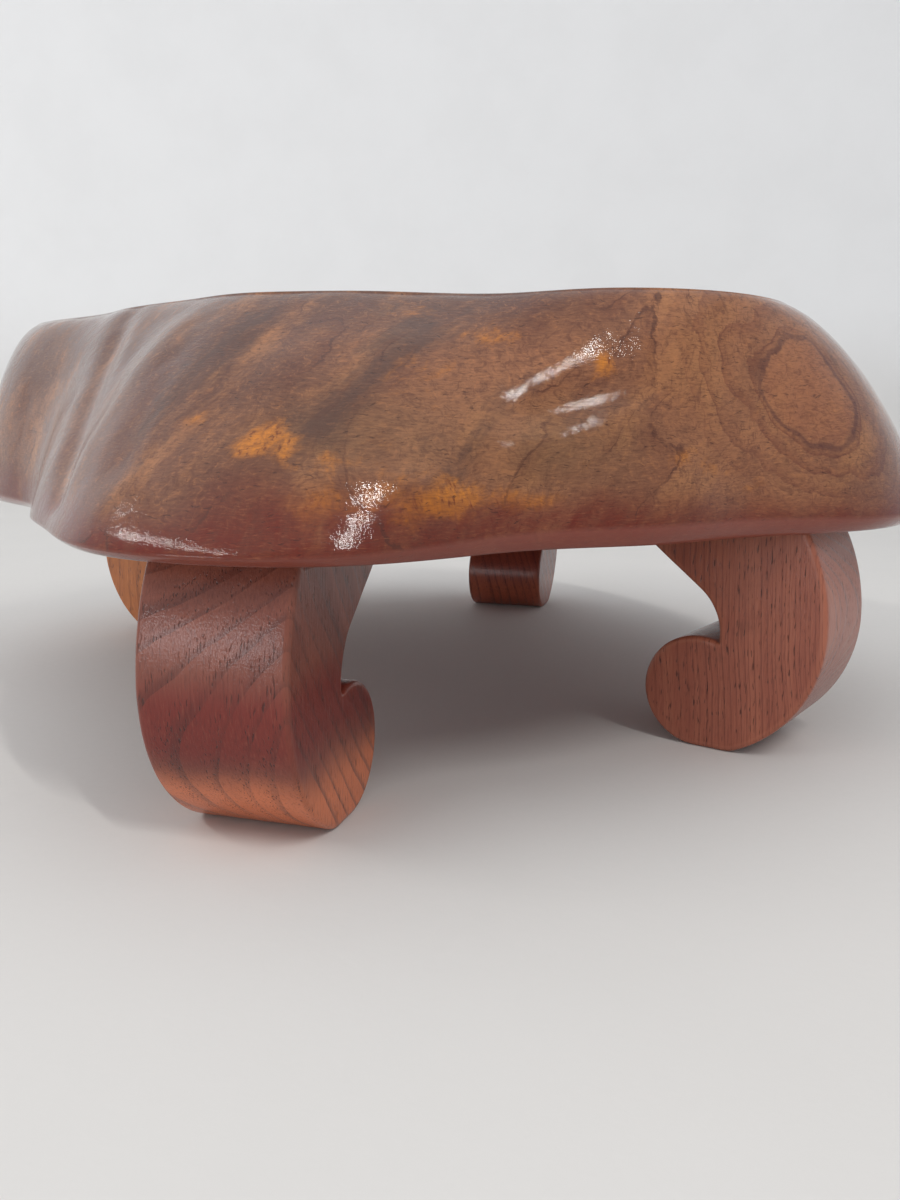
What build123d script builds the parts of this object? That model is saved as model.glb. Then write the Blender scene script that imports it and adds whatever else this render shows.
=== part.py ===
from build123d import *
from math import acos, asin, cos, degrees, radians, sin
import os

# Low display stand: a thick natural-edge slab on four scroll-cut legs, put together
# with glued dowels. Millimetres, +Z up, floor at Z = 0, narrow showing end towards -Y.

# Driving dimensions
TOTAL_HEIGHT = 212.0
SLAB_UNDERSIDE = 110.0
LEG_THICKNESS = 60.0
EASED_EDGE = 1.5

# Slab outline, walked anticlockwise from +X about the slab's middle: direction in degrees,
# rim radius, how far the side leans in by the top, height of the lower band, and the
# side curve's power, where 1 is a straight slope and 2 is a quarter ellipse
SLAB_OUTLINE = [
    (0, 262, 64, 5, 1.5),
    (20, 272, 70, 5, 1.5),
    (38, 290, 74, 6, 1.4),
    (54, 303, 72, 5, 1.4),
    (72, 292, 60, 4, 1.6),
    (90, 288, 62, 5, 1.6),
    (106, 300, 74, 6, 1.4),
    (122, 306, 80, 5, 1.3),
    (140, 286, 60, 4, 1.4),
    (156, 272, 32, 5, 1.6),
    (172, 254, 50, 5, 1.8),
    (184, 232, 51, 4, 1.6),
    (196, 226, 50, 3, 1.4),
    (206, 240, 66, 3, 1.3),
    (218, 260, 84, 3, 1.25),
    (230, 291, 106, 3, 1.2),
    (240, 302, 118, 3, 1.2),
    (250, 293, 109, 4, 1.25),
    (262, 259, 71, 7, 1.5),
    (276, 252, 34, 8, 1.6),
    (290, 251, 21, 8, 1.6),
    (305, 273, 52, 6, 1.6),
    (322, 279, 76, 5, 1.5),
    (340, 271, 65, 5, 1.5),
]
BAND_UNDERCUT = 10.0
BAND_START = SLAB_UNDERSIDE - 4.0
SIDE_LEVELS = [0.0, 0.15, 0.3, 0.45, 0.6, 0.73, 0.84, 0.92, 0.97, 1.0]

# Leg placement: (name, x, y of the foot's lowest point, direction its bulge faces)
LEG_PLACES = [
    ("front_left", -125.0, -220.0, -123.0),
    ("front_right", 125.0, -179.0, -53.0),
    ("rear_right", 143.0, 211.0, 57.0),
    ("rear_left", -145.0, 186.0, 130.0),
]

# Leg outline in its own plane: X outwards along the leg, Y up
SCROLL_RADIUS = 27.6
SCROLL_X = -19.3
BULGE_X = 41.0
BULGE_HEIGHT = 63.0
HEEL_RADIUS = 68.0
SHOULDER_RADIUS = 98.0
NOTCH_X = -9.5
THROAT_START = 57.0
THROAT_RADIUS = 27.0
THROAT_TURN = 52.0
NOTCH_FILLET = 2.5
HEEL_FILLET = 18.0

# Worked out from the leg's dimensions
HEEL_TURN = degrees(asin(BULGE_HEIGHT / HEEL_RADIUS))
HEEL_END_X = BULGE_X - HEEL_RADIUS + HEEL_RADIUS * cos(radians(HEEL_TURN))
SHOULDER_TURN = degrees(asin((SLAB_UNDERSIDE - BULGE_HEIGHT) / SHOULDER_RADIUS))
NOTCH_ANGLE = degrees(acos((NOTCH_X - SCROLL_X) / SCROLL_RADIUS))
NOTCH_HEIGHT = SCROLL_RADIUS + SCROLL_RADIUS * sin(radians(NOTCH_ANGLE))

# Dowels, two to a leg, standing across the joint between leg and slab
DOWEL_DIAMETER = 12.0
DOWEL_LENGTH = 50.0
DOWEL_CHAMFER = 1.0
DOWEL_FLUTES = 10
FLUTE_RADIUS = 0.6
GLUE_GAP = 0.05
HOLE_END_GAP = 1.0
DOWEL_PLACES = [("inner", -11.0), ("outer", 15.0)]


def side_lean(level, power):
    """Share of the full lean reached at a height share: upright at the rim, level at the top."""
    return 1.0 - (1.0 - level**power) ** (1.0 / power)


def section_wire(radii_and_heights):
    """Closed smooth curve through one point in each outline direction."""
    points = []
    for (direction, *_), (radius, height) in zip(SLAB_OUTLINE, radii_and_heights):
        angle = radians(direction)
        points.append(Vector(radius * cos(angle), radius * sin(angle), height))
    return Wire([Edge.make_spline(points, periodic=True)])


def make_slab():
    """Slab lofted round the lower band and up the side to the flat top, then planed underneath."""
    sections = [section_wire([(rim - BAND_UNDERCUT, BAND_START) for _, rim, *_ in SLAB_OUTLINE])]
    for level in SIDE_LEVELS:
        ring = []
        for _, rim, lean, band, power in SLAB_OUTLINE:
            crease = SLAB_UNDERSIDE + band
            height = crease + (TOTAL_HEIGHT - crease) * level
            ring.append((rim - lean * side_lean(level, power), height))
        sections.append(section_wire(ring))
    return split(Solid.make_loft(sections), Plane.XY.offset(SLAB_UNDERSIDE), keep=Keep.TOP)


def leg_outline():
    """Scroll-cut board: flat sole, outward bulge, straight top, hollow throat and rolled toe."""
    sole = Line((SCROLL_X, 0), (HEEL_END_X, 0))
    heel = CenterArc((BULGE_X - HEEL_RADIUS, BULGE_HEIGHT), HEEL_RADIUS, -HEEL_TURN, HEEL_TURN)
    shoulder = CenterArc((BULGE_X - SHOULDER_RADIUS, BULGE_HEIGHT), SHOULDER_RADIUS, 0, SHOULDER_TURN)
    throat_wall = Line((NOTCH_X, NOTCH_HEIGHT), (NOTCH_X, THROAT_START))
    throat = JernArc(throat_wall @ 1, (0, 1), THROAT_RADIUS, THROAT_TURN)
    neck_rise = SLAB_UNDERSIDE - (throat @ 1).Y
    neck_run = neck_rise / sin(radians(90 + THROAT_TURN)) * cos(radians(90 + THROAT_TURN))
    neck = Line(throat @ 1, throat @ 1 + Vector(neck_run, neck_rise))
    top = Line(shoulder @ 1, neck @ 1)
    toe = CenterArc((SCROLL_X, SCROLL_RADIUS), SCROLL_RADIUS, NOTCH_ANGLE, 270 - NOTCH_ANGLE)
    board = make_face([sole, heel, shoulder, top, neck, throat, throat_wall, toe])
    notch = board.vertices().sort_by_distance((NOTCH_X, NOTCH_HEIGHT))[0]
    board = fillet(notch, NOTCH_FILLET)
    heel_corner = board.vertices().sort_by_distance((HEEL_END_X, 0))[0]
    return fillet(heel_corner, HEEL_FILLET)


def dowel_positions(place):
    """Middle of each dowel of one leg, in plan."""
    _, foot_x, foot_y, facing = place
    for label, reach in DOWEL_PLACES:
        angle = radians(facing)
        yield label, foot_x + reach * cos(angle), foot_y + reach * sin(angle)


def make_leg(place):
    """One leg, its side faces' edges eased, with two blind dowel holes in its top."""
    _, foot_x, foot_y, facing = place
    board = extrude(leg_outline(), LEG_THICKNESS / 2, both=True)
    side_edges = board.faces().sort_by(Axis.Z)[0].edges() + board.faces().sort_by(Axis.Z)[-1].edges()
    eased = [edge for edge in side_edges if edge.center().Y < SLAB_UNDERSIDE - EASED_EDGE]
    board = fillet(eased, EASED_EDGE)
    leg = Pos(foot_x, foot_y, 0) * Rot(0, 0, facing) * Rot(90, 0, 0) * board
    for _, x, y in dowel_positions(place):
        leg -= Pos(x, y, SLAB_UNDERSIDE) * dowel_hole()
    return leg


def dowel_hole():
    """The space that one dowel and its glue take, half in the leg and half in the slab."""
    return Cylinder(DOWEL_DIAMETER / 2 + GLUE_GAP, DOWEL_LENGTH + 2 * HOLE_END_GAP)


def make_dowel():
    """Fluted hardwood dowel with chamfered ends, centred on the origin."""
    radius = DOWEL_DIAMETER / 2
    dowel = Cylinder(radius, DOWEL_LENGTH)
    dowel = chamfer(dowel.edges().filter_by(GeomType.CIRCLE), DOWEL_CHAMFER)
    for flute in range(DOWEL_FLUTES):
        groove = Cylinder(FLUTE_RADIUS, DOWEL_LENGTH)
        dowel -= Rot(0, 0, 360 * flute / DOWEL_FLUTES) * Pos(radius, 0, 0) * groove
    return dowel


def write_node(name, solid, recentre):
    """Write one named piece, with the stand's middle moved onto the origin."""
    export_step(recentre * solid, f"parts/{name}.step")


def main():
    os.makedirs("parts", exist_ok=True)
    slab = make_slab()
    middle = slab.bounding_box().center()
    recentre = Pos(-middle.X, -middle.Y, 0)
    for place in LEG_PLACES:
        name = place[0]
        write_node(f"leg_{name}", make_leg(place), recentre)
        for label, x, y in dowel_positions(place):
            seat = Pos(x, y, SLAB_UNDERSIDE)
            slab -= seat * dowel_hole()
            write_node(f"dowel_{name}_{label}", seat * make_dowel(), recentre)
    write_node("top_slab", slab, recentre)
    print("middle of the slab before recentring:", middle)


main()
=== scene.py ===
from math import acos, asin, cos, degrees, pi, radians, sin

import bpy
import numpy as np
from mathutils import Matrix, Vector, noise
from mathutils.geometry import delaunay_2d_cdt


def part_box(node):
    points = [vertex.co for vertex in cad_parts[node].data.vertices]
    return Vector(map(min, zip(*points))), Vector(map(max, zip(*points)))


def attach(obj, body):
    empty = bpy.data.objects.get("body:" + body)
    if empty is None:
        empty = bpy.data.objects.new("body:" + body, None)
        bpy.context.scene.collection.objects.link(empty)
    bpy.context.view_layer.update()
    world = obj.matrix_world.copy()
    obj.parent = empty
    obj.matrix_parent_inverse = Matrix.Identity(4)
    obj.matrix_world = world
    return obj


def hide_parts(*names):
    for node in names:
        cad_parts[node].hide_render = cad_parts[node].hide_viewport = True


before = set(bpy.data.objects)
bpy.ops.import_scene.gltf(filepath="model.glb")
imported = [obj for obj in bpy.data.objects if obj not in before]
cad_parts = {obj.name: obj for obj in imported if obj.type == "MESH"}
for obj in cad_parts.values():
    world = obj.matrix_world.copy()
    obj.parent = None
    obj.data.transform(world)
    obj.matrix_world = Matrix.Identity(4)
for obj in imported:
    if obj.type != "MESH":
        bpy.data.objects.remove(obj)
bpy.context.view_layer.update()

# Low display stand: a burl slab on four scroll-cut legs. Lengths in the tables and in the shapes are
# in millimetres, and MM turns them into metres. Places and noise scales in the materials are in metres.
MM = 0.001

# --------------------------------------------------------------------------- dimensions
SLAB_UNDERSIDE = 110.0
TOTAL_HEIGHT = 212.0
# direction in degrees, rim radius, lean of the side, lower band's height, side curve's power
SLAB_OUTLINE = [
    (0, 262, 64, 5, 1.5),
    (20, 272, 70, 5, 1.5),
    (38, 290, 74, 6, 1.4),
    (54, 303, 72, 5, 1.4),
    (72, 292, 60, 4, 1.6),
    (90, 288, 62, 5, 1.6),
    (106, 300, 74, 6, 1.4),
    (122, 306, 80, 5, 1.3),
    (140, 286, 60, 4, 1.4),
    (156, 272, 32, 5, 1.6),
    (172, 254, 50, 5, 1.8),
    (184, 232, 51, 4, 1.6),
    (196, 226, 50, 3, 1.4),
    (206, 240, 66, 3, 1.3),
    (218, 260, 84, 3, 1.25),
    (230, 291, 106, 3, 1.2),
    (240, 302, 118, 3, 1.2),
    (250, 293, 109, 4, 1.25),
    (262, 259, 71, 7, 1.5),
    (276, 252, 34, 8, 1.6),
    (290, 251, 21, 8, 1.6),
    (305, 273, 52, 6, 1.6),
    (322, 279, 76, 5, 1.5),
    (340, 271, 65, 5, 1.5),
]
BAND_UNDERCUT = 4.5

LEG_THICKNESS = 60.0
LEG_EDGE_RADIUS = 2.2
SCROLL_RADIUS, SCROLL_X = 27.6, -19.3
BULGE_X, BULGE_HEIGHT = 41.0, 63.0
HEEL_RADIUS, SHOULDER_RADIUS = 68.0, 98.0
HEEL_EASE = 3.5
NOTCH_X, THROAT_START, THROAT_RADIUS, THROAT_TURN = -9.5, 57.0, 27.0, 52.0
# name, foot x and y, direction the bulge faces
LEG_PLACES = [
    ("front_left", -125.0, -220.0, -123.0),
    ("front_right", 125.0, -179.0, -53.0),
    ("rear_right", 143.0, 211.0, 57.0),
    ("rear_left", -145.0, 186.0, 130.0),
]
# The outline's middle in plan, which stands over the origin.
OUTLINE_MIDDLE = (3.641, 7.306)

# Relief on the slab: folds run from one point to another, dips sit at a point of the top.
# start, end, half width, depth; a negative depth is a ridge
FOLDS = [
    ((-176, -80, 206), (-201, -166, 122), 11, 3.0),
    ((-166, -118, 198), (-188, -152, 156), 12, 0.9),
    ((-154, -146, 196), (-199, -176, 134), 12, -0.8),
    ((-146, -162, 197), (-178, -212, 146), 13, 1.1),
    ((-114, -190, 198), (-146, -226, 160), 14, 0.8),
    ((6, -237, 194), (-26, -243, 171), 9, -1.6),
    ((22, -249, 172), (-20, -248, 162), 10, 2.4),
    ((10, -250, 163), (-34, -254, 149), 8, -1.5),
    ((-116, -266, 137), (-76, -269, 137), 7, -1.5),
    ((-108, -276, 126), (-84, -277, 126), 5, -0.7),
    ((-60, -262, 140), (-20, -256, 132), 11, 1.6),
    ((40, -252, 150), (70, -246, 128), 13, 1.4),
    ((250, -20, 190), (262, 60, 130), 26, 3.0),
    ((90, 262, 196), (60, 286, 128), 22, 3.4),
    ((-96, 250, 196), (-130, 268, 130), 20, 2.6),
    ((-212, 70, 196), (-244, 96, 128), 18, 3.0),
    ((204, 160, 196), (226, 190, 128), 20, 2.2),
]
# place, half widths, depth
TOP_DIPS = [
    ((-42, -205), (46, 22), 1.8),
    ((140, 120), (90, 60), 0.8),
    ((-90, 60), (70, 100), 0.7),
]
DIP_FADE = (150.0, 205.0)
# Soft hand-worked waves: half height, length of the coarsest wave, place in the noise
WAVES = [(0.55, 58.0, 3.1), (0.16, 17.0, 9.4)]
WAVE_LEVEL = 0.9
# The relief starts this far above the underside, and this share of it is left out on the flat top.
RELIEF_START = (3.0, 16.0)
TOP_SPARED = 0.86


# --------------------------------------------------------------------------- geometry helpers
def periodic_spline(rows, column, at):
    """Smooth closed curve through one column of the outline's rows, read at angles in degrees."""
    knots = np.array([row[0] for row in rows], float)
    values = np.array([row[column] for row in rows], float)
    count = len(knots)
    gaps = np.diff(np.r_[knots, knots[0] + 360.0])
    matrix = np.zeros((count, count))
    right = np.zeros(count)
    for i in range(count):
        after = (i + 1) % count
        matrix[i, i - 1] = gaps[i - 1]
        matrix[i, i] = 2.0 * (gaps[i - 1] + gaps[i])
        matrix[i, after] = gaps[i]
        slope_after = (values[after] - values[i]) / gaps[i]
        slope_before = (values[i] - values[i - 1]) / gaps[i - 1]
        right[i] = 6.0 * (slope_after - slope_before)
    bends = np.linalg.solve(matrix, right)
    low = np.searchsorted(knots, at, side="right") - 1
    high = (low + 1) % count
    gap = gaps[low]
    ahead = (at - knots[low]) / gap
    behind = 1.0 - ahead
    curve = (behind**3 - behind) * bends[low] + (ahead**3 - ahead) * bends[high]
    return behind * values[low] + ahead * values[high] + curve * gap**2 / 6.0


def fractal(points, scale, octaves, offset):
    """Fixed fractal noise at each point, about -1 to 1; scale is the length of the coarsest wave."""
    shift = Vector((offset, offset * 0.7, offset * 1.3))
    flat = points.reshape(-1, 3)
    found = [noise.fractal(Vector(p) / scale + shift, 0.9, 2.1, octaves) for p in flat]
    return np.array(found).reshape(points.shape[:-1])


def grid_normals(grid):
    """Outward unit normals of a grid that closes on itself along its second axis."""
    along = np.roll(grid, -1, 1) - np.roll(grid, 1, 1)
    across = np.gradient(grid, axis=0)
    normals = np.cross(along, across)
    length = np.linalg.norm(normals, axis=2, keepdims=True)
    return normals / np.maximum(length, 1e-9)


def segment_distance(points, start, end):
    """Distance of each point from a segment, and how far along the segment it lies, 0 to 1."""
    start, end = np.array(start, float), np.array(end, float)
    line = end - start
    along = np.clip(((points - start) @ line) / (line @ line), 0.0, 1.0)
    nearest = start + along[..., None] * line
    return np.linalg.norm(points - nearest, axis=-1), along


def smoothstep(low, high, value):
    t = np.clip((value - low) / (high - low), 0.0, 1.0)
    return t * t * (3.0 - 2.0 * t)


def new_mesh(name, vertices, faces, material):
    mesh = bpy.data.meshes.new(name)
    mesh.from_pydata([tuple(v) for v in vertices], [], faces)
    mesh.materials.append(material)
    mesh.shade_smooth()
    piece = bpy.data.objects.new(name, mesh)
    bpy.context.scene.collection.objects.link(piece)
    return piece


def ring_quads(rows, columns):
    """Quads between rings of points, each ring closed on itself."""
    faces = []
    for i in range(rows - 1):
        low, high = i * columns, (i + 1) * columns
        for j in range(columns):
            k = (j + 1) % columns
            faces.append((low + j, low + k, high + k, high + j))
    return faces


def end_fans(rows, columns):
    """Triangles from the first and the last ring to the two middle points that follow the rings."""
    first, last = rows * columns, rows * columns + 1
    faces = []
    for j in range(columns):
        k = (j + 1) % columns
        faces.append((first, k, j))
        faces.append((last, (rows - 1) * columns + j, (rows - 1) * columns + k))
    return faces


def paint(piece, name, values):
    """Store one number per vertex for the material to read."""
    layer = piece.data.attributes.new(name, "FLOAT", "POINT")
    layer.data.foreach_set("value", np.asarray(values, np.float32))


# --------------------------------------------------------------------------- slab
COLUMNS = 720
UNDER_RINGS, BAND_RINGS, SIDE_RINGS, TOP_RINGS = 12, 7, 74, 30
# The innermost ring underneath, as a share of the radius
UNDER_START = 0.08
# How far the band bows out, as a share of its undercut
BAND_BOW = 0.12
# Above 1, these crowd the side's rings towards the crease and the top's towards its middle.
SIDE_CROWDING, TOP_CROWDING = 1.15, 1.3
TOP_SHARE, TOP_MIDDLE_RADIUS = 0.97, 3.0


def slab_grid():
    """Rings of points from the underside's middle, over the band and side, to the top's middle."""
    angles = np.arange(COLUMNS) * 360.0 / COLUMNS
    rim, lean, band, power = (periodic_spline(SLAB_OUTLINE, c, angles) for c in (1, 2, 3, 4))
    rings = []
    for share in np.linspace(UNDER_START, 1.0, UNDER_RINGS, endpoint=False):
        rings.append(((rim - BAND_UNDERCUT) * share, np.full(COLUMNS, SLAB_UNDERSIDE)))
    for share in np.linspace(0.0, 1.0, BAND_RINGS, endpoint=False):
        bow = BAND_BOW * sin(pi * share)
        rings.append((rim - BAND_UNDERCUT * (1.0 - share - bow), SLAB_UNDERSIDE + band * share))
    crease = SLAB_UNDERSIDE + band
    for share in np.linspace(0.0, 1.0, SIDE_RINGS):
        level = sin(share * pi / 2.0) ** SIDE_CROWDING
        inset = lean * (1.0 - (1.0 - level**power) ** (1.0 / power))
        rings.append((rim - inset, crease + (TOTAL_HEIGHT - crease) * level))
    for share in np.linspace(0.0, 1.0, TOP_RINGS + 1)[1:]:
        radius = (rim - lean) * (1.0 - share) ** TOP_CROWDING * TOP_SHARE + TOP_MIDDLE_RADIUS
        rings.append((radius, np.full(COLUMNS, TOTAL_HEIGHT)))
    cosines, sines = np.cos(np.radians(angles)), np.sin(np.radians(angles))
    middle_x, middle_y = OUTLINE_MIDDLE
    return np.array([np.c_[r * cosines - middle_x, r * sines - middle_y, z] for r, z in rings])


def relieve(grid):
    """Hand-worked relief: folds, dents, soft waves and the dips of the top's near edge."""
    normals = grid_normals(grid)
    height = grid[..., 2]
    side = smoothstep(*(SLAB_UNDERSIDE + start for start in RELIEF_START), height)
    on_top = normals[..., 2] > 0.9
    top = smoothstep(TOTAL_HEIGHT - 0.6, TOTAL_HEIGHT - 0.01, height) * on_top
    depth = np.zeros(height.shape)
    for start, end, width, amount in FOLDS:
        distance, along = segment_distance(grid, start, end)
        fade = smoothstep(-0.25, 0.3, along) * 0.6 + 0.4
        depth += amount * fade * np.exp(-((distance / width) ** 2))
    for half_height, length, offset in WAVES:
        depth += half_height * (fractal(grid, length, 2, offset) + WAVE_LEVEL)
    depth = depth * side * (1.0 - TOP_SPARED * top)
    grid = grid - normals * depth[..., None]
    for (x, y), (wide, long), amount in TOP_DIPS:
        spread = ((grid[..., 0] - x) / wide) ** 2 + ((grid[..., 1] - y) / long) ** 2
        grid[..., 2] -= amount * np.exp(-spread) * smoothstep(*DIP_FADE, height)
    return grid


def fit_inside(grid, low, high):
    """Keep the relief within the slab's box."""
    for axis in range(3):
        span = grid[..., axis].max() - grid[..., axis].min()
        scale = min(1.0, (high[axis] - low[axis]) / span)
        middle = (grid[..., axis].max() + grid[..., axis].min()) / 2.0
        grid[..., axis] = (grid[..., axis] - middle) * scale + middle
        over = max(0.0, grid[..., axis].max() - high[axis])
        under = max(0.0, low[axis] - grid[..., axis].min())
        grid[..., axis] += under - over
    return grid


def make_slab(material):
    low, high = (np.array(corner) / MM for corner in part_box("top_slab"))
    grid = fit_inside(relieve(slab_grid()), low, high)
    rows = len(grid)
    middle = (-OUTLINE_MIDDLE[0], -OUTLINE_MIDDLE[1])
    under_middle = (*middle, SLAB_UNDERSIDE)
    top_middle = (*middle, grid[-1, :, 2].mean())
    points = np.vstack([grid.reshape(-1, 3), [under_middle, top_middle]])
    faces = ring_quads(rows, COLUMNS) + end_fans(rows, COLUMNS)
    piece = new_mesh("burl_top", points * MM, faces, material)
    piece.data.validate()
    paint_figure(piece, points)
    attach(piece, "root")
    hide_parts("top_slab")


# --------------------------------------------------------------------------- burl figure
# start, end, half width, strength
SMOKE = [
    ((-60, -212, 197), (-108, -248, 156), 11, 1.0),
    ((-122, -184, 198), (-176, -216, 146), 20, 0.62),
    ((-140, -215, 168), (-158, -240, 140), 13, 0.45),
    ((-24, -242, 172), (-62, -262, 142), 8, 0.7),
    ((16, -249, 168), (-14, -252, 156), 9, 0.55),
    ((-35, -253, 152), (-52, -262, 138), 9, 0.5),
    ((-89, -262, 146), (-70, -256, 152), 12, 0.42),
    ((-40, -207, 206), (-70, -198, 207), 9, 0.75),
    ((60, -240, 186), (88, -236, 176), 8, 0.3),
]
# place, half widths, strength
AMBER = [
    ((-128, -248, 151), (15, 15, 7), 0.95),
    ((-104, -262, 145), (18, 15, 7), 0.55),
    ((-92, -275, 129), (26, 20, 8), 0.8),
    ((-66, -270, 130), (24, 20, 8), 1.0),
    ((-36, -261, 129), (18, 18, 6), 0.65),
    ((-150, -230, 158), (12, 14, 6), 0.45),
    ((-64, -208, 203), (16, 16, 5), 0.5),
    ((5, -243, 181), (5, 10, 6), 0.8),
    ((-33, -226, 191), (14, 14, 7), 0.45),
    ((-69, -236, 177), (16, 16, 12), 0.35),
]
# start, end, half width, strength
GOLD_STREAKS = [
    ((34, -252, 146), (92, -246, 126), 6, 0.42),
    ((52, -248, 139), (100, -243, 132), 4, 0.40),
    ((84, -234, 198), (112, -226, 194), 6, 0.35),
]
# place, half widths
OLIVE = [
    ((-88, -255, 152), (44, 40, 16)),
    ((-24, -250, 152), (40, 40, 18)),
]
EYE_PLACE, EYE_RADII = (109, -231, 169), (33, 30, 21)
EYE_TURN = radians(28)
# The mahogany edge: how far up it reaches, and how much further round the left lobe's middle
HEART_REACH, HEART_SWELL = 14.0, 13.0
LOBE_X, LOBE_WIDTH = -115.0, 50.0
# The figure's borders wander by up to this much.
BORDER_WANDER = 8.0


def blob(points, place, radii):
    """Soft spot, 1 at its middle and fading outwards."""
    spread = np.linalg.norm((points - np.array(place, float)) / np.array(radii, float), axis=-1)
    return np.exp(-(spread**2.0))


def streak(points, start, end, width):
    """Soft band along a segment, 1 on the segment and fading outwards."""
    distance, _ = segment_distance(points, start, end)
    return np.exp(-((distance / width) ** 2))


def strongest(marks):
    """The strongest of several marks at each point."""
    return np.maximum.reduce(list(marks))


def eye_field(points):
    """Distance from the closed eye's middle, where 1 is its rim."""
    offset = points - np.array(EYE_PLACE, float)
    across = offset[:, 0] * cos(EYE_TURN) - offset[:, 2] * sin(EYE_TURN)
    upward = offset[:, 0] * sin(EYE_TURN) + offset[:, 2] * cos(EYE_TURN)
    wide, deep, tall = EYE_RADII
    return np.sqrt((across / wide) ** 2 + (offset[:, 1] / deep) ** 2 + (upward / tall) ** 2)


def shade_field(points, warp):
    """The darker wood towards the left and over the top's left half."""
    x, height = points[:, 0], points[:, 2]
    left = 1.0 - smoothstep(-140.0, 0.0, x + 30.0 * warp)
    left = left * (0.50 + 0.50 * smoothstep(140.0, 190.0, height))
    over = smoothstep(178.0, 206.0, height + BORDER_WANDER * warp) * (1.0 - smoothstep(-30.0, 50.0, x))
    return np.maximum(left, over)


def paint_figure(piece, points):
    """Where the burl's patches lie, and the ring field that the eye's veins follow."""
    x, y, height = points.T
    warp = fractal(points, 60.0, 3, 21.0)
    gold = [amount * streak(points, start, end, width) for start, end, width, amount in GOLD_STREAKS]
    curl = [amount * blob(points, place, radii) for place, radii, amount in AMBER]
    reach = HEART_REACH + HEART_SWELL * np.exp(-(((x - LOBE_X) / LOBE_WIDTH) ** 2))
    above = height - SLAB_UNDERSIDE + BORDER_WANDER * warp
    direction = np.degrees(np.arctan2(y + OUTLINE_MIDDLE[1], x + OUTLINE_MIDDLE[0])) % 360.0
    crease = periodic_spline(SLAB_OUTLINE, 3, direction)
    paint(piece, "shade", shade_field(points, warp))
    paint(piece, "olive", strongest(blob(points, place, radii) for place, radii in OLIVE))
    paint(piece, "smoke", strongest(a * streak(points, start, end, w) for start, end, w, a in SMOKE))
    paint(piece, "amber", strongest(curl + gold))
    paint(piece, "heart", 1.0 - smoothstep(reach * 0.5, reach + 9.0, above))
    paint(piece, "eye", eye_field(points))
    paint(piece, "band", 1.0 - smoothstep(-0.5, 0.5, height - SLAB_UNDERSIDE - crease))


# --------------------------------------------------------------------------- legs
OUTLINE_SPACING, FACE_SPACING = 1.6, 3.2
# Cuts across the board between its two faces, and on each rounded edge
BOARD_CUTS, EDGE_CUTS = 22, 6
# Two rings on each face follow the outline at these multiples of the edge radius inside it.
FACE_INSETS = (2.6, 1.6)
LEG_WAVE_DEPTH, LEG_WAVE_LENGTH = 0.176, 34.0


def arc_points(centre, radius, start, turn, count):
    """Points along an arc that begins at one direction and turns through an angle, in degrees."""
    angles = np.radians(start + np.linspace(0.0, turn, count))
    return np.c_[centre[0] + radius * np.cos(angles), centre[1] + radius * np.sin(angles)]


def leg_outline():
    """The scroll-cut board's outline, anticlockwise, sole first, evenly spaced."""
    heel_turn = degrees(asin(BULGE_HEIGHT / HEEL_RADIUS))
    shoulder_turn = degrees(asin((SLAB_UNDERSIDE - BULGE_HEIGHT) / SHOULDER_RADIUS))
    notch_angle = degrees(acos((NOTCH_X - SCROLL_X) / SCROLL_RADIUS))
    throat_centre = (NOTCH_X - THROAT_RADIUS, THROAT_START)
    throat = arc_points(throat_centre, THROAT_RADIUS, 0.0, THROAT_TURN, 40)
    neck_angle = radians(90.0 + THROAT_TURN)
    rise = SLAB_UNDERSIDE - throat[-1, 1]
    neck_end = throat[-1] + np.array([rise * cos(neck_angle) / sin(neck_angle), rise])
    heel_centre = (BULGE_X - HEEL_RADIUS, BULGE_HEIGHT)
    eased = degrees(HEEL_EASE / HEEL_RADIUS)
    heel = arc_points(heel_centre, HEEL_RADIUS, eased - heel_turn, heel_turn - eased, 60)
    heel_corner = np.array([heel_centre[0] + HEEL_RADIUS * cos(radians(heel_turn)), 0.0])
    heel_start = heel_corner - np.array([HEEL_EASE, 0.0])
    share = np.linspace(0.0, 1.0, 7)[:-1, None]
    turned = (1 - share) ** 2 * heel_start + 2 * share * (1 - share) * heel_corner + share**2 * heel[0]
    shoulder_centre = (BULGE_X - SHOULDER_RADIUS, BULGE_HEIGHT)
    toe_centre = (SCROLL_X, SCROLL_RADIUS)
    corners = np.vstack([
        [(SCROLL_X, 0.0)],
        turned,
        heel,
        arc_points(shoulder_centre, SHOULDER_RADIUS, 0.0, shoulder_turn, 40)[1:],
        [neck_end],
        throat[::-1],
        arc_points(toe_centre, SCROLL_RADIUS, notch_angle, 270.0 - notch_angle, 120)[:-1],
    ])
    return evenly_spaced(corners, OUTLINE_SPACING)


def evenly_spaced(corners, step):
    """Points along each side of a closed polygon, with every sharp corner kept."""
    found = []
    for start, end in zip(corners, np.roll(corners, -1, 0)):
        count = max(1, int(round(np.linalg.norm(end - start) / step)))
        found += [start + (end - start) * i / count for i in range(count)]
    return np.array(found)


def inward_offset(outline, distance, keep_top):
    """The outline moved in by a distance, but not off the flat top that meets the slab."""
    before, after = np.roll(outline, 1, 0), np.roll(outline, -1, 0)
    tangent = after - before
    tangent /= np.linalg.norm(tangent, axis=1, keepdims=True)
    inward = np.c_[-tangent[:, 1], tangent[:, 0]]
    moved = outline + inward * distance
    moved[keep_top, 1] = outline[keep_top, 1]
    return moved


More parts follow.
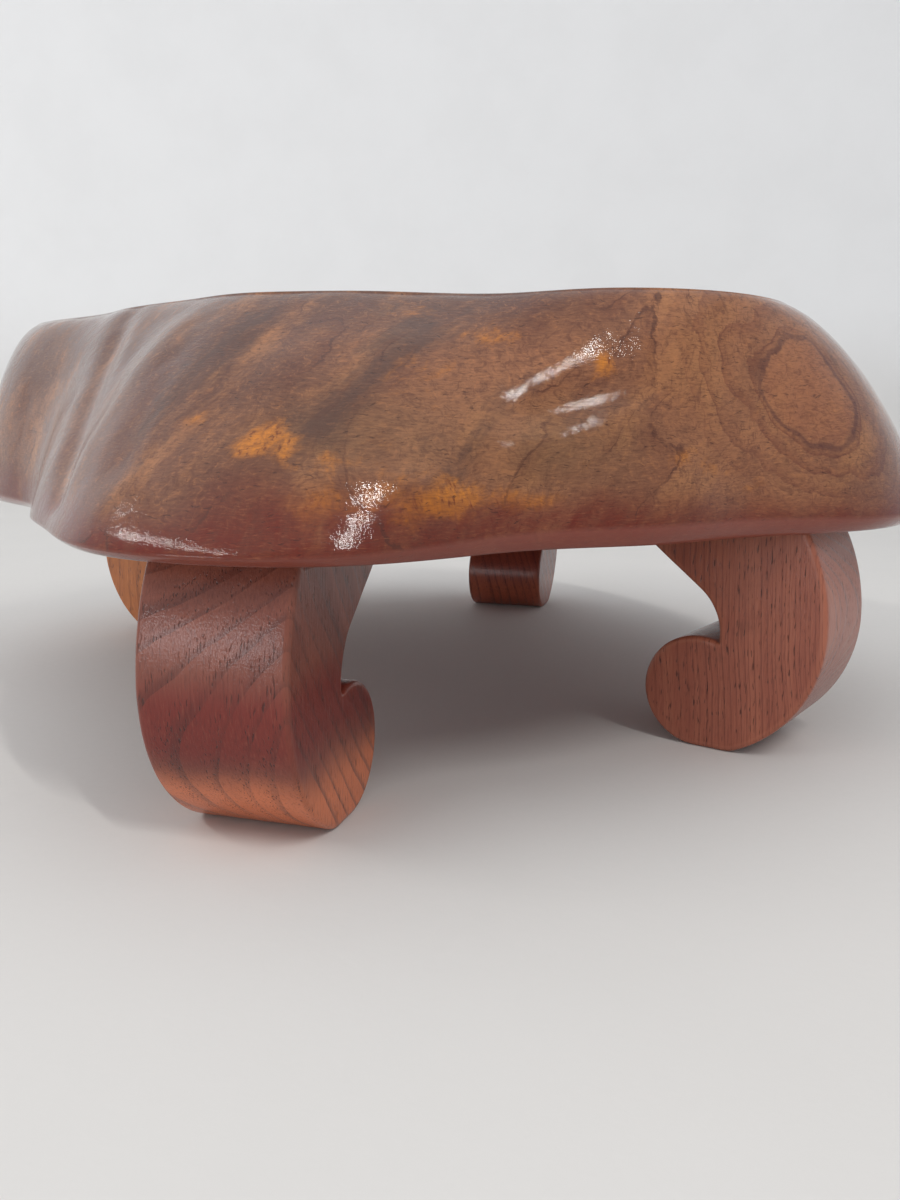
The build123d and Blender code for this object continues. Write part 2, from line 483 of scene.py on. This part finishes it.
def points_inside(outline):
    """Evenly spread points inside an outline, clear of its edge."""
    low, high = outline.min(0), outline.max(0)
    after = np.roll(outline, -1, 0)
    found = []
    for x in np.arange(low[0] + FACE_SPACING / 2, high[0], FACE_SPACING):
        crossing = (outline[:, 0] > x) != (after[:, 0] > x)
        start, end = outline[crossing], after[crossing]
        slopes = (end[:, 1] - start[:, 1]) / (end[:, 0] - start[:, 0])
        heights = start[:, 1] + (x - start[:, 0]) * slopes
        for y in np.arange(low[1] + FACE_SPACING / 2, high[1], FACE_SPACING):
            inside = np.count_nonzero(heights > y) % 2 == 1
            clearance = np.min(np.hypot(outline[:, 0] - x, outline[:, 1] - y))
            if inside and clearance > FACE_SPACING * 0.6:
                found.append((x, y))
    return found


def fill_outline(outline):
    """Points inside an outline, and the triangles that join them to it."""
    inner = points_inside(outline)
    corners = [Vector(p) for p in outline] + [Vector(p) for p in inner]
    loop = [(i, (i + 1) % len(outline)) for i in range(len(outline))]
    places, _, triangles, origins, _, _ = delaunay_2d_cdt(corners, loop, [], 1, 1e-6)
    sources = []
    for place, origin in zip(places, origins):
        if origin:
            sources.append(origin[0])
        else:
            sources.append(len(outline) + len(inner))
            inner.append(tuple(place))
    return np.array(inner), [[sources[v] for v in triangle] for triangle in triangles]


def board_cuts():
    """Cuts across the board, from face to face: depth, and how far inside the outline."""
    half, radius = LEG_THICKNESS / 2.0, LEG_EDGE_RADIUS
    turns = np.linspace(0, pi / 2, EDGE_CUTS)
    cuts = [(-half, inset * radius) for inset in FACE_INSETS]
    cuts += [(-half + radius * (1 - cos(a)), radius * (1 - sin(a))) for a in turns]
    cuts += [(depth, 0.0) for depth in np.linspace(-half, half, BOARD_CUTS)[2:-2]]
    cuts += [(half - radius * (1 - cos(a)), radius * (1 - sin(a))) for a in turns[::-1]]
    cuts += [(half, inset * radius) for inset in FACE_INSETS[::-1]]
    return cuts


def make_leg(place, material):
    """One leg, with its long edges rounded over, built in its own frame and turned into place."""
    name, foot_x, foot_y, facing = place
    outline = leg_outline()
    count = len(outline)
    at_top = outline[:, 1] > SLAB_UNDERSIDE - 0.01
    half, radius = LEG_THICKNESS / 2.0, LEG_EDGE_RADIUS
    cuts = board_cuts()
    rings = []
    for depth, inset in cuts:
        ring = inward_offset(outline, inset, at_top) if inset else outline
        rings.append(np.c_[ring, np.full(count, depth)])
    grid = np.array(rings)
    points = grid.reshape(-1, 3)
    normals = grid_normals(grid).reshape(-1, 3)
    faces = ring_quads(len(cuts), count)
    inner, triangles = fill_outline(rings[0][:, :2])
    for ring_start, depth in ((0, -half), ((len(cuts) - 1) * count, half)):
        first = len(points)
        points = np.vstack([points, np.c_[inner, np.full(len(inner), depth)]])
        flat_normal = (0.0, 0.0, np.sign(normals[ring_start, 2]))
        normals = np.vstack([normals, np.tile(flat_normal, (len(inner), 1))])
        for triangle in triangles:
            corners = [ring_start + v if v < count else first + v - count for v in triangle]
            faces.append(corners if depth > 0 else corners[::-1])
    wave = LEG_WAVE_DEPTH * np.abs(fractal(points, LEG_WAVE_LENGTH, 2, 5.0 + foot_x))
    wave *= (points[:, 1] < SLAB_UNDERSIDE - 1.0) * smoothstep(0.0, 6.0, points[:, 1])
    points = points - normals * wave[:, None]
    points[:, 1] = np.clip(points[:, 1], 0.0, SLAB_UNDERSIDE)
    piece = new_mesh(f"scroll_leg_{name}", points * MM, faces, material)
    piece.data.validate()
    edge = smoothstep(half - 1.5 * radius, half - 0.4 * radius, np.abs(points[:, 2]))
    on_face = np.array([inset > 1.2 * radius for _, inset in cuts]).repeat(count)
    edge[: len(on_face)][on_face] = 0.0
    edge[len(on_face) :] = 0.0
    paint(piece, "edge", edge)
    foot = ((foot_x - OUTLINE_MIDDLE[0]) * MM, (foot_y - OUTLINE_MIDDLE[1]) * MM, 0.0)
    turn = Matrix.Rotation(radians(facing), 4, "Z") @ Matrix.Rotation(pi / 2.0, 4, "X")
    piece.matrix_world = Matrix.Translation(foot) @ turn
    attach(piece, "root")
    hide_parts(f"leg_{name}")


# --------------------------------------------------------------------------- material helpers
class Nodes:
    """Short ways to lay out a material's nodes."""

    def __init__(self, name):
        self.material = bpy.data.materials.new(name)
        self.material.use_nodes = True
        self.tree = self.material.node_tree
        self.tree.nodes.clear()
        output = self.tree.nodes.new("ShaderNodeOutputMaterial")
        self.shader = self.tree.nodes.new("ShaderNodeBsdfPrincipled")
        self.join(self.shader.outputs[0], output.inputs["Surface"])

    def join(self, source, socket):
        """Give a socket a value, or link it to another node's output."""
        if isinstance(source, (int, float, tuple)):
            socket.default_value = source
        else:
            self.tree.links.new(source, socket)

    def fill(self, node, **values):
        for name, value in values.items():
            self.join(value, node.inputs[name.replace("_", " ")])

    def set(self, **values):
        """Settings of the surface itself."""
        self.fill(self.shader, **values)

    def add(self, kind, **values):
        node = self.tree.nodes.new(f"ShaderNode{kind}")
        self.fill(node, **values)
        return node

    def place(self):
        return self.add("TexCoord").outputs["Object"]

    def attribute(self, name):
        node = self.add("Attribute")
        node.attribute_name = name
        return node.outputs["Fac"]

    def mapping(self, vector, scale=(1.0, 1.0, 1.0), turn=(0.0, 0.0, 0.0)):
        return self.add("Mapping", Vector=vector, Scale=scale, Rotation=turn).outputs[0]

    def noise(self, vector, scale, detail=3.0, rough=0.55, distortion=0.0, output="Fac"):
        settings = {"Scale": scale, "Detail": detail, "Roughness": rough, "Distortion": distortion}
        return self.add("TexNoise", Vector=vector, **settings).outputs[output]

    def stretched(self, vector, scales, detail=3.0, rough=0.55):
        """Noise with its own scale along each axis."""
        return self.noise(self.mapping(vector, scale=scales), 1.0, detail, rough)

    def warp(self, vector, scale, amount, detail=2.0):
        """The vector pushed about by noise."""
        push = self.noise(vector, scale, detail, output="Color")
        push = self.vector("SUBTRACT", push, (0.5, 0.5, 0.5))
        return self.vector("ADD", vector, self.vector("SCALE", push, scale=amount))

    def vector(self, operation, a, b=(0.0, 0.0, 0.0), scale=None):
        node = self.add("VectorMath")
        node.operation = operation
        self.join(a, node.inputs[0])
        self.join(b, node.inputs[1])
        if scale is not None:
            self.join(scale, node.inputs["Scale"])
        return node.outputs["Value" if operation == "DOT_PRODUCT" else "Vector"]

    def math(self, operation, a, b=0.0):
        node = self.add("Math")
        node.operation = operation
        self.join(a, node.inputs[0])
        self.join(b, node.inputs[1])
        return node.outputs[0]

    def plus(self, a, b):
        return self.math("ADD", a, b)

    def minus(self, a, b):
        return self.math("SUBTRACT", a, b)

    def times(self, first, *others):
        for other in others:
            first = self.math("MULTIPLY", first, other)
        return first

    def centred(self, value):
        return self.minus(value, 0.5)

    def line(self, value, middle, outer, inner):
        """A thin line where the value passes the middle, 1 within inner of it and 0 beyond outer."""
        return self.step(self.math("ABSOLUTE", self.minus(value, middle)), outer, inner)

    def range(self, value, low, high, to_low, to_high, kind="LINEAR"):
        ends = {"From Min": low, "From Max": high, "To Min": to_low, "To Max": to_high}
        node = self.add("MapRange", Value=value, **ends)
        node.interpolation_type = kind
        return node.outputs["Result"]

    def step(self, value, low, high):
        """0 below low, 1 above high, smooth between; low may be the larger."""
        if low < high:
            return self.range(value, low, high, 0.0, 1.0, "SMOOTHSTEP")
        return self.range(value, high, low, 1.0, 0.0, "SMOOTHSTEP")

    def mix(self, share, a, b):
        node = self.add("Mix")
        node.data_type = "RGBA"
        self.join(share, node.inputs[0])
        self.join(a, node.inputs[6])
        self.join(b, node.inputs[7])
        return node.outputs[2]

    def tint(self, base, colour, *shares):
        """The base turned towards a colour by the product of the shares."""
        return self.mix(self.times(*shares), base, colour)

    def bump(self, height, strength, distance):
        return self.add("Bump", Strength=strength, Distance=distance, Height=height).outputs[0]


def rgb(red, green, blue):
    """A colour given as sRGB 0-255, as linear values."""
    linear = [((c / 255.0 + 0.055) / 1.055) ** 2.4 for c in (red, green, blue)]
    return (*linear, 1.0)


# --------------------------------------------------------------------------- burl material
BURL = {
    "brown": rgb(124, 80, 58),
    "tan": rgb(150, 99, 68),
    "shade": rgb(74, 43, 33),
    "honey": rgb(168, 114, 72),
    "russet": rgb(100, 56, 42),
    "tangle": rgb(82, 44, 34),
    "glint": rgb(190, 124, 76),
    "olive": rgb(118, 92, 62),
    "smoke": rgb(78, 54, 46),
    "drift": rgb(86, 56, 44),
    "amber": rgb(200, 122, 40),
    "amber_dark": rgb(112, 54, 20),
    "mahogany": rgb(98, 28, 16),
    "layer": rgb(92, 44, 30),
    "vein": rgb(66, 36, 30),
    "eye": rgb(166, 98, 66),
    "eye_layer": rgb(104, 50, 36),
    "eye_vein": rgb(84, 44, 38),
    "eye_rim": rgb(80, 42, 40),
    "fibre_dark": rgb(76, 40, 30),
    "fibre_pale": rgb(190, 124, 82),
    "pore": rgb(48, 22, 18),
    # the lower band's painted reflection of the pale floor
    "band": rgb(140, 76, 64),
}
# The grain runs down and to the left across the narrow showing end.
BURL_GRAIN = (0.0, radians(42.7), radians(-26.9))


def burl_ground(n, looser, broad, cloud):
    """Broad colour changes along the grain, darker to the left, with an olive cast by the folds."""
    base = n.mix(n.step(broad, 0.38, 0.62), BURL["brown"], BURL["tan"])
    base = n.tint(base, BURL["shade"], n.attribute("shade"), n.range(cloud, 0.35, 0.65, 0.95, 0.55))
    base = n.tint(base, BURL["honey"], n.step(cloud, 0.50, 0.68), 0.55)
    base = n.tint(base, BURL["russet"], n.step(cloud, 0.49, 0.32), 0.60)
    tangle = n.noise(looser, 230.0, 4.0, 0.72, distortion=1.6)
    base = n.tint(base, BURL["tangle"], n.step(tangle, 0.50, 0.34), 0.50)
    base = n.tint(base, BURL["glint"], n.step(tangle, 0.52, 0.68), 0.26)
    patchy = n.range(broad, 0.35, 0.65, 0.9, 0.4)
    return n.tint(base, BURL["olive"], n.attribute("olive"), patchy, 0.55)


def burl_smoke(n, base, broad, wisp):
    """Smoke-brown bands, where they are set and thinly everywhere else."""
    smoke = n.plus(n.attribute("smoke"), n.times(n.centred(wisp), 2.2))
    base = n.tint(base, BURL["smoke"], n.step(smoke, 0.25, 0.95), 0.78)
    drift = n.times(n.step(broad, 0.56, 0.72), n.step(wisp, 0.42, 0.66))
    return n.tint(base, BURL["drift"], drift, 0.45)


def burl_amber(n, base, place, looser):
    """Amber curl: bright patches with a fine upright flame."""
    flame = n.stretched(n.warp(place, 60.0, 0.004), (520.0, 520.0, 90.0), 3.0, 0.6)
    patch = n.stretched(looser, (60.0, 110.0, 95.0), 5.0, 0.66)
    amber = n.step(n.plus(n.attribute("amber"), n.times(n.centred(patch), 1.9)), 0.22, 0.90)
    base = n.tint(base, BURL["amber"], amber, n.range(flame, 0.3, 0.7, 0.35, 1.0))
    return n.tint(base, BURL["amber_dark"], amber, n.step(flame, 0.44, 0.28))


def burl_veins(n, base, place, loose, looser):
    """Growth layers that darken slowly and end in a thin ragged line."""
    slow = n.stretched(loose, (5.0, 13.0, 11.0), 2.0, 0.5)
    fringe = n.times(n.noise(looser, 150.0, 4.0, 0.65), 0.42)
    layers = n.math("FRACT", n.plus(n.times(slow, 15.0), fringe))
    here = n.step(n.noise(place, 13.0, 2.0), 0.40, 0.62)
    seen = n.times(here, n.step(n.noise(looser, 48.0, 3.0), 0.40, 0.60))
    base = n.tint(base, BURL["layer"], n.step(layers, 0.35, 1.0), seen, 0.34)
    return n.tint(base, BURL["vein"], n.line(layers, 0.95, 0.05, 0.01), seen, 0.60)


def burl_eye(n, base, place, looser):
    """The closed eye of rings at the right, and the rings that spread from it."""
    wobble = n.times(n.centred(n.noise(place, 22.0, 2.0, 0.6)), 1.1)
    ragged = n.times(n.centred(n.noise(looser, 60.0, 4.0, 0.65)), 0.30)
    eye = n.plus(n.attribute("eye"), n.plus(wobble, ragged))
    base = n.tint(base, BURL["eye"], n.step(eye, 1.0, 0.8), 0.20)
    layers = n.math("FRACT", n.times(eye, 2.6))
    near = n.times(n.step(eye, 2.9, 1.3), n.step(eye, 0.95, 1.15))
    base = n.tint(base, BURL["eye_layer"], n.step(layers, 0.30, 1.0), near, 0.38)
    broken = n.step(n.noise(looser, 40.0, 3.0), 0.40, 0.60)
    vein = n.times(n.line(layers, 0.94, 0.06, 0.01), near)
    base = n.tint(base, BURL["eye_vein"], vein, n.times(broken, 0.45))
    rim = n.line(eye, 0.98, 0.085, 0.02)
    return n.tint(base, BURL["eye_rim"], rim, n.range(broken, 0.0, 1.0, 0.42, 0.68))


def burl_material():
    """Burl figure under a glossy clear lacquer."""
    n = Nodes("burl_lacquered")
    place = n.place()
    loose = n.warp(n.mapping(place, turn=BURL_GRAIN), 9.0, 0.035, 3.0)
    looser = n.warp(loose, 34.0, 0.010, 2.0)
    broad = n.stretched(loose, (5.0, 16.0, 13.0), 4.0, 0.6)
    cloud = n.stretched(looser, (14.0, 34.0, 30.0), 6.0, 0.66)
    wisp = n.stretched(looser, (12.0, 90.0, 74.0), 5.0, 0.66)
    base = burl_ground(n, looser, broad, cloud)
    base = burl_smoke(n, base, broad, wisp)
    base = burl_amber(n, base, place, looser)
    base = n.tint(base, BURL["mahogany"], n.attribute("heart"), n.range(wisp, 0.35, 0.65, 1.0, 0.55))
    base = burl_veins(n, base, place, loose, looser)
    base = burl_eye(n, base, place, looser)

    fibre = n.stretched(n.warp(place, 40.0, 0.006), (240.0, 240.0, 1500.0), 4.0, 0.65)
    base = n.tint(base, BURL["fibre_dark"], n.step(fibre, 0.54, 0.36), 0.32)
    base = n.tint(base, BURL["fibre_pale"], n.step(fibre, 0.55, 0.72), 0.16)
    pores = n.stretched(n.warp(place, 55.0, 0.010), (260.0, 260.0, 1500.0), 2.0, 0.5)
    pore = n.step(pores, 0.355, 0.29)
    base = n.tint(base, BURL["pore"], pore, 0.55)
    # Painted reflection: the lower band is made paler and redder, standing in for the pale floor that
    # it reflects.
    base = n.tint(base, BURL["band"], n.attribute("band"), 0.62)

    # Wood surface under the lacquer, and the lacquer's own ripple and pits
    ripple, pits = n.noise(place, 250.0, 4.0, 0.65), n.noise(place, 850.0, 2.0, 0.6)
    under = n.bump(n.plus(fibre, n.times(pore, -0.6)), 0.35, 0.0006)
    film = n.bump(n.plus(n.times(ripple, 1.4), n.times(pits, 0.45)), 0.30, 0.0004)
    rough = n.range(cloud, 0.3, 0.7, 0.36, 0.50)
    n.set(Base_Color=base, Roughness=rough, Normal=under, Coat_Normal=film)
    n.set(Coat_Weight=1.0, Coat_Roughness=0.06, Coat_IOR=1.33, IOR=1.4, Specular_IOR_Level=0.10)
    return n.material


# --------------------------------------------------------------------------- leg and dowel materials
# Two body colours, line colour, pale colour
RED_STAIN = (rgb(142, 78, 60), rgb(158, 92, 70), rgb(92, 42, 36), rgb(186, 118, 90))
BROWN_STAIN = (rgb(112, 60, 48), rgb(130, 72, 56), rgb(66, 30, 26), rgb(156, 96, 74))
DARK_STAIN = (rgb(112, 50, 40), rgb(132, 64, 48), rgb(66, 28, 24), rgb(154, 88, 66))
ORANGE_STAIN = (rgb(158, 92, 52), rgb(184, 112, 62), rgb(116, 60, 36), rgb(206, 140, 88))
# FOOT_FLOOR_REFLECTION is the painted reflection of the pale floor on the foot; FOOT_RED is the belt
# above it.
FOOT_FLOOR_REFLECTION, FOOT_RED = rgb(212, 118, 74), rgb(110, 32, 26)
LEG_PORE, LEG_GRIME = rgb(44, 18, 14), rgb(66, 32, 26)
# Direction across the growth rings in the leg's own frame, their bow, crowding and spacing;
# then the stain, and how strongly the foot gets its red belt and its painted orange reflection of the
# floor
LEG_WOODS = {
    "front_left": (((0.62, -0.42, -0.60), 3.5, 0.0, 0.0064), BROWN_STAIN, 0.85),
    "front_right": (((1.0, 0.05, 0.10), 0.6, 5.0, 0.0030), RED_STAIN, 0.0),
    "rear_right": (((0.30, 0.25, 0.90), 5.0, 0.0, 0.0060), DARK_STAIN, 0.15),
    "rear_left": (((0.55, 0.10, 0.80), 5.0, 0.0, 0.0060), ORANGE_STAIN, 0.0),
}
# Direction in which the growth rings bow
RING_BOW_SIDE = (0.2, 0.3, 0.93)


def leg_material(name, cut, stain, foot_reflection_and_belt):
    """Board under reddish stain; cut sets which way its growth rings run and how they crowd."""
    across, bow, crowding, spacing = cut
    body, other_body, line, pale = stain
    n = Nodes(name)
    place = n.place()
    bent = n.warp(place, 14.0, 0.005, 2.0)
    depth = n.vector("DOT_PRODUCT", bent, across)
    side = n.vector("DOT_PRODUCT", bent, RING_BOW_SIDE)
    depth = n.plus(depth, n.times(side, side, bow))
    depth = n.plus(depth, n.times(depth, depth, crowding))
    years = n.noise(n.vector("SCALE", (1.0, 0.0, 0.0), scale=depth), 95.0, 2.0)
    uneven = n.times(n.plus(n.times(n.noise(place, 30.0, 2.0), 0.20), years), 0.009)
    rings = n.math("FRACT", n.math("DIVIDE", n.plus(depth, uneven), spacing))
    late = n.step(rings, 0.62, 0.96)
    faint = n.step(n.noise(bent, 26.0, 2.0), 0.30, 0.62)
    tone = n.stretched(place, (22.0, 9.0, 22.0))
    patchy = n.plus(n.times(years, 0.6), n.times(tone, 0.4))
    base = n.mix(n.step(patchy, 0.38, 0.62), body, other_body)

    # Painted reflection of the pale floor, in orange, low on the foot, with a red belt above it
    height = n.vector("DOT_PRODUCT", place, (0.0, 1.0, 0.0))
    low = n.plus(height, n.times(n.noise(place, 20.0, 2.0), 0.016))
    base = n.tint(base, FOOT_FLOOR_REFLECTION, n.step(low, 0.044, 0.026), foot_reflection_and_belt)
    belt = n.times(n.step(low, 0.034, 0.052), n.step(low, 0.082, 0.064))
    base = n.tint(base, FOOT_RED, belt, foot_reflection_and_belt)

    base = n.tint(base, line, late, n.range(faint, 0.0, 1.0, 0.18, 0.50))
    fibre = n.stretched(bent, (1300.0, 90.0, 1300.0), 3.0, 0.6)
    base = n.tint(base, line, n.step(fibre, 0.50, 0.30), 0.34)
    base = n.tint(base, pale, n.step(fibre, 0.54, 0.74), 0.20)
    dashes = n.stretched(bent, (1500.0, 190.0, 1500.0), 1.0, 0.4)
    pore = n.times(n.step(dashes, 0.40, 0.30), n.step(rings, 0.30, 0.60))
    base = n.tint(base, LEG_PORE, pore, 0.70)
    # The rounded edges are painted paler: partly wear, partly a painted highlight.
    base = n.tint(base, pale, n.attribute("edge"), 0.16)
    grime = n.noise(place, 70.0, 4.0, 0.65)
    base = n.tint(base, LEG_GRIME, n.step(grime, 0.55, 0.75), 0.18)

    speck = n.noise(place, 1000.0, 2.0, 0.6)
    under = n.bump(n.minus(fibre, pore), 0.45, 0.0005)
    film = n.bump(n.minus(n.times(speck, 0.7), n.times(pore, 0.8)), 0.40, 0.0005)
    rough = n.range(late, 0.0, 1.0, 0.46, 0.36)
    n.set(Base_Color=base, Roughness=rough, Normal=under, Coat_Normal=film)
    n.set(Coat_Weight=0.55, Coat_Roughness=0.18, Coat_IOR=1.45, IOR=1.4, Specular_IOR_Level=0.25)
    return n.material


def dowel_material():
    """Plain unfinished hardwood."""
    n = Nodes("dowel_plain")
    place = n.place()
    fibre = n.stretched(place, (900.0, 900.0, 30.0), 4.0, 0.6)
    tone = n.stretched(place, (120.0, 120.0, 14.0))
    base = n.mix(tone, rgb(206, 172, 128), rgb(178, 138, 94))
    base = n.tint(base, rgb(138, 98, 62), n.step(fibre, 0.50, 0.32), 0.4)
    rough = n.range(fibre, 0.3, 0.7, 0.70, 0.55)
    n.set(Base_Color=base, Roughness=rough, Normal=n.bump(fibre, 0.4, 0.0004))
    return n.material


# --------------------------------------------------------------------------- setting
# Metres from here on
EYE = Vector((-0.1712, -0.6133, 0.1617))
LOOK_TURN, LOOK_DOWN, LOOK_ROLL = radians(-17.1), radians(10.52), radians(0.44)
LENS, SENSOR_WIDTH = 30.43, 36.0

FLOOR_TINT, WALL_TINT, MOTTLE = rgb(212, 210, 207), rgb(238, 238, 238), rgb(176, 174, 170)
FLOOR_HALF_WIDTH, FLOOR_NEAR, WALL_DISTANCE = 3.6, -3.0, 1.5
SWEEP_RADIUS, WALL_HEIGHT = 0.18, 2.6
FLOOR_COLUMNS = 25

SKY_TINT, SKY_STRENGTH = (0.86, 0.88, 0.92, 1.0), 0.66
WHITE, WARM_WHITE, COOL_WHITE = (1.0, 1.0, 1.0), (1.0, 0.985, 0.96), (0.94, 0.97, 1.0)
# The two ceiling tubes run side by side, this way round.
TUBE_TURN = radians(-70.7)
# name, place, size, turn about the vertical, power, tint; all of them face down
CEILING_LIGHTS = [
    ("ceiling_soft", (0.0, 0.0, 2.6), (5.0, 4.0), 0.0, 22.0, WHITE),
    ("tube_right", (0.48, -2.0, 2.2), (1.2, 0.055), TUBE_TURN, 26.0, WARM_WHITE),
    ("tube_left", (-2.4, -0.05, 2.2), (3.2, 0.055), TUBE_TURN, 36.0, WARM_WHITE),
]
WINDOW_PLACE, WINDOW_SIZE, WINDOW_AIM = (-2.6, -1.5, 0.42), (1.2, 0.26), (2.5, 1.3, -0.3)
WINDOW_POWER = 13.0


def make_camera():
    data = bpy.data.cameras.new("main_camera")
    data.lens = LENS
    data.sensor_width = SENSOR_WIDTH
    data.clip_start = 0.01
    camera = bpy.data.objects.new("main_camera", data)
    bpy.context.scene.collection.objects.link(camera)
    turn = Matrix.Rotation(LOOK_TURN, 4, "Z") @ Matrix.Rotation(pi / 2.0 - LOOK_DOWN, 4, "X")
    camera.matrix_world = Matrix.Translation(EYE) @ turn @ Matrix.Rotation(LOOK_ROLL, 4, "Z")
    bpy.context.scene.camera = camera


def paper_material():
    """Pale floor covering that runs up into a paler wall, with faint mottling."""
    n = Nodes("paper")
    place = n.place()
    mottle = n.noise(place, 6.0, 4.0, 0.6)
    fine = n.noise(place, 240.0, 3.0, 0.6)
    height = n.vector("DOT_PRODUCT", place, (0.0, 0.0, 1.0))
    base = n.mix(n.step(height, 0.02, 0.4), FLOOR_TINT, WALL_TINT)
    base = n.tint(base, MOTTLE, n.step(mottle, 0.35, 0.70), 0.05)
    rough = n.range(fine, 0.3, 0.7, 0.62, 0.80)
    n.set(Base_Color=base, Roughness=rough, Normal=n.bump(fine, 0.15, 0.0004))
    return n.material


def make_floor():
    """A pale sheet that lies flat round the stand and sweeps up into a wall behind it."""
    bend = WALL_DISTANCE - SWEEP_RADIUS
    profile = [(y, 0.0) for y in (FLOOR_NEAR, -1.0, 0.0, bend)]
    for angle in np.linspace(0.1, pi / 2, 14):
        profile.append((bend + SWEEP_RADIUS * sin(angle), SWEEP_RADIUS - SWEEP_RADIUS * cos(angle)))
    profile.append((WALL_DISTANCE, WALL_HEIGHT))
    across = np.linspace(-FLOOR_HALF_WIDTH, FLOOR_HALF_WIDTH, FLOOR_COLUMNS)
    vertices = [(x, y, z) for y, z in profile for x in across]
    faces = []
    for i in range(len(profile) - 1):
        for j in range(FLOOR_COLUMNS - 1):
            a = i * FLOOR_COLUMNS + j
            faces.append((a, a + 1, a + FLOOR_COLUMNS + 1, a + FLOOR_COLUMNS))
    floor = new_mesh("pale_backdrop", vertices, faces, paper_material())
    floor.matrix_world = Matrix.Rotation(LOOK_TURN, 4, "Z")


def area_light(name, place, size, turn, power, tint):
    """Rectangular light facing down, its long side turned about the vertical."""
    data = bpy.data.lights.new(name, "AREA")
    data.shape = "RECTANGLE"
    data.size, data.size_y = size
    data.energy = power
    data.color = tint
    light = bpy.data.objects.new(name, data)
    bpy.context.scene.collection.objects.link(light)
    light.location = place
    light.rotation_euler = (0.0, 0.0, turn)
    return light


def make_lights():
    world = bpy.data.worlds.new("soft_room")
    bpy.context.scene.world = world
    world.use_nodes = True
    background = world.node_tree.nodes["Background"]
    background.inputs["Color"].default_value = SKY_TINT
    background.inputs["Strength"].default_value = SKY_STRENGTH
    for light in CEILING_LIGHTS:
        area_light(*light)
    window = area_light("window_low", WINDOW_PLACE, WINDOW_SIZE, 0.0, WINDOW_POWER, COOL_WHITE)
    aim = Vector(WINDOW_AIM).to_track_quat("-Z", "Y").to_matrix().to_4x4()
    window.matrix_world = Matrix.Translation(WINDOW_PLACE) @ aim


# --------------------------------------------------------------------------- assembly
make_camera()
make_lights()
make_floor()
make_slab(burl_material())
for leg_place in LEG_PLACES:
    cut, stain, foot_reflection_and_belt = LEG_WOODS[leg_place[0]]
    make_leg(leg_place, leg_material(f"leg_stained_{leg_place[0]}", cut, stain, foot_reflection_and_belt))

dowels = dowel_material()
for node_name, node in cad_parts.items():
    if node_name.startswith("dowel"):
        node.data.materials.clear()
        node.data.materials.append(dowels)

bpy.context.scene.view_settings.view_transform = "Standard"
